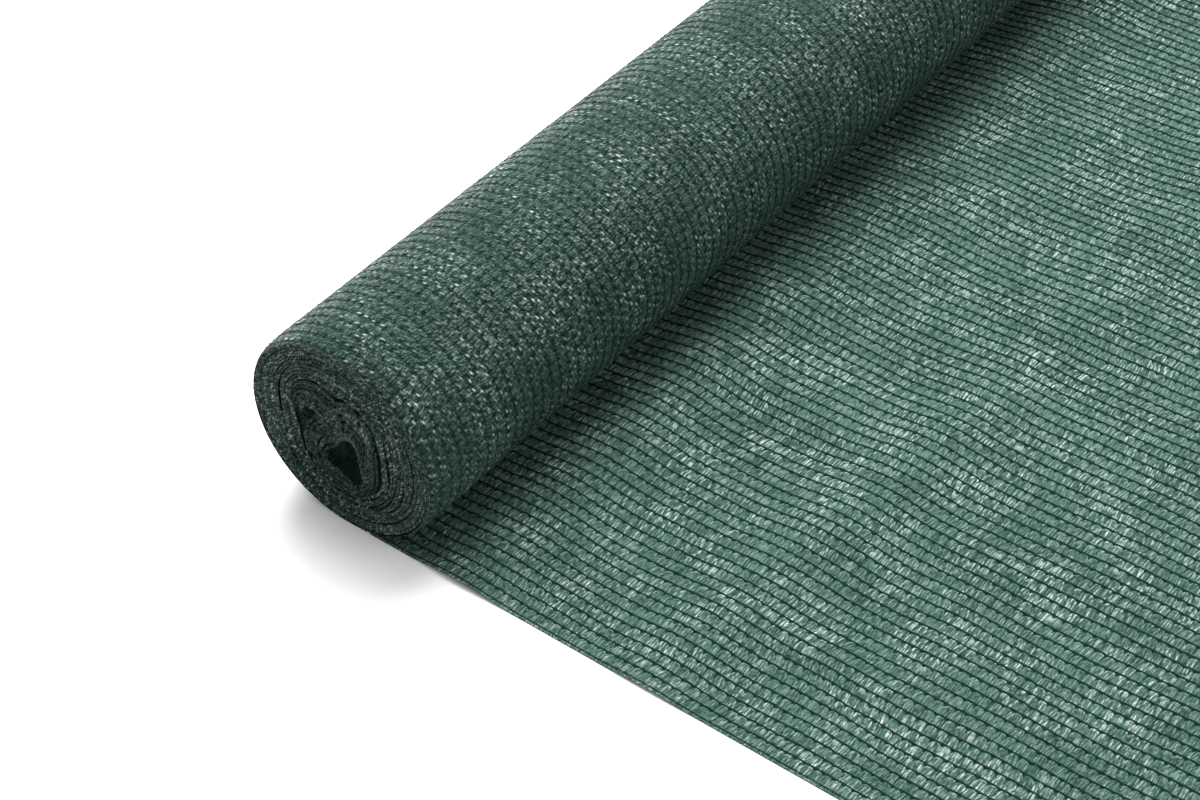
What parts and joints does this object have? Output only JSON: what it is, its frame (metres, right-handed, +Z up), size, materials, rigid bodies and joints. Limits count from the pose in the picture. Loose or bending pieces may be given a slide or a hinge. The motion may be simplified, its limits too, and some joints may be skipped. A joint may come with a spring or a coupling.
{
  "type": "roll of knitted privacy netting with its loose end laid out",
  "caption": "Long round roll of green knitted privacy netting on its side, with the last turn drawn out as a wavy sheet on the floor.",
  "frame": {"origin": "on the floor under the middle of the whole object's box", "axes": "+Y along the roll, +X from the roll towards the cut end of the loose sheet, +Z up"},
  "size_m": [0.5008, 1, 0.099],
  "materials": {
    "net_wound": "knitted polyethylene tape, layer on layer, dark green with small glossy glints",
    "net_loose": "one layer of knitted polyethylene tape, mid green, slightly see-through",
    "rib_yarn": "chain-stitched ribs that run along the cloth's length, near black green"
  },
  "bodies": {
    "root": {"netting_roll": "net_wound", "netting_sheet": "net_loose"}
  },
  "joints": []
}
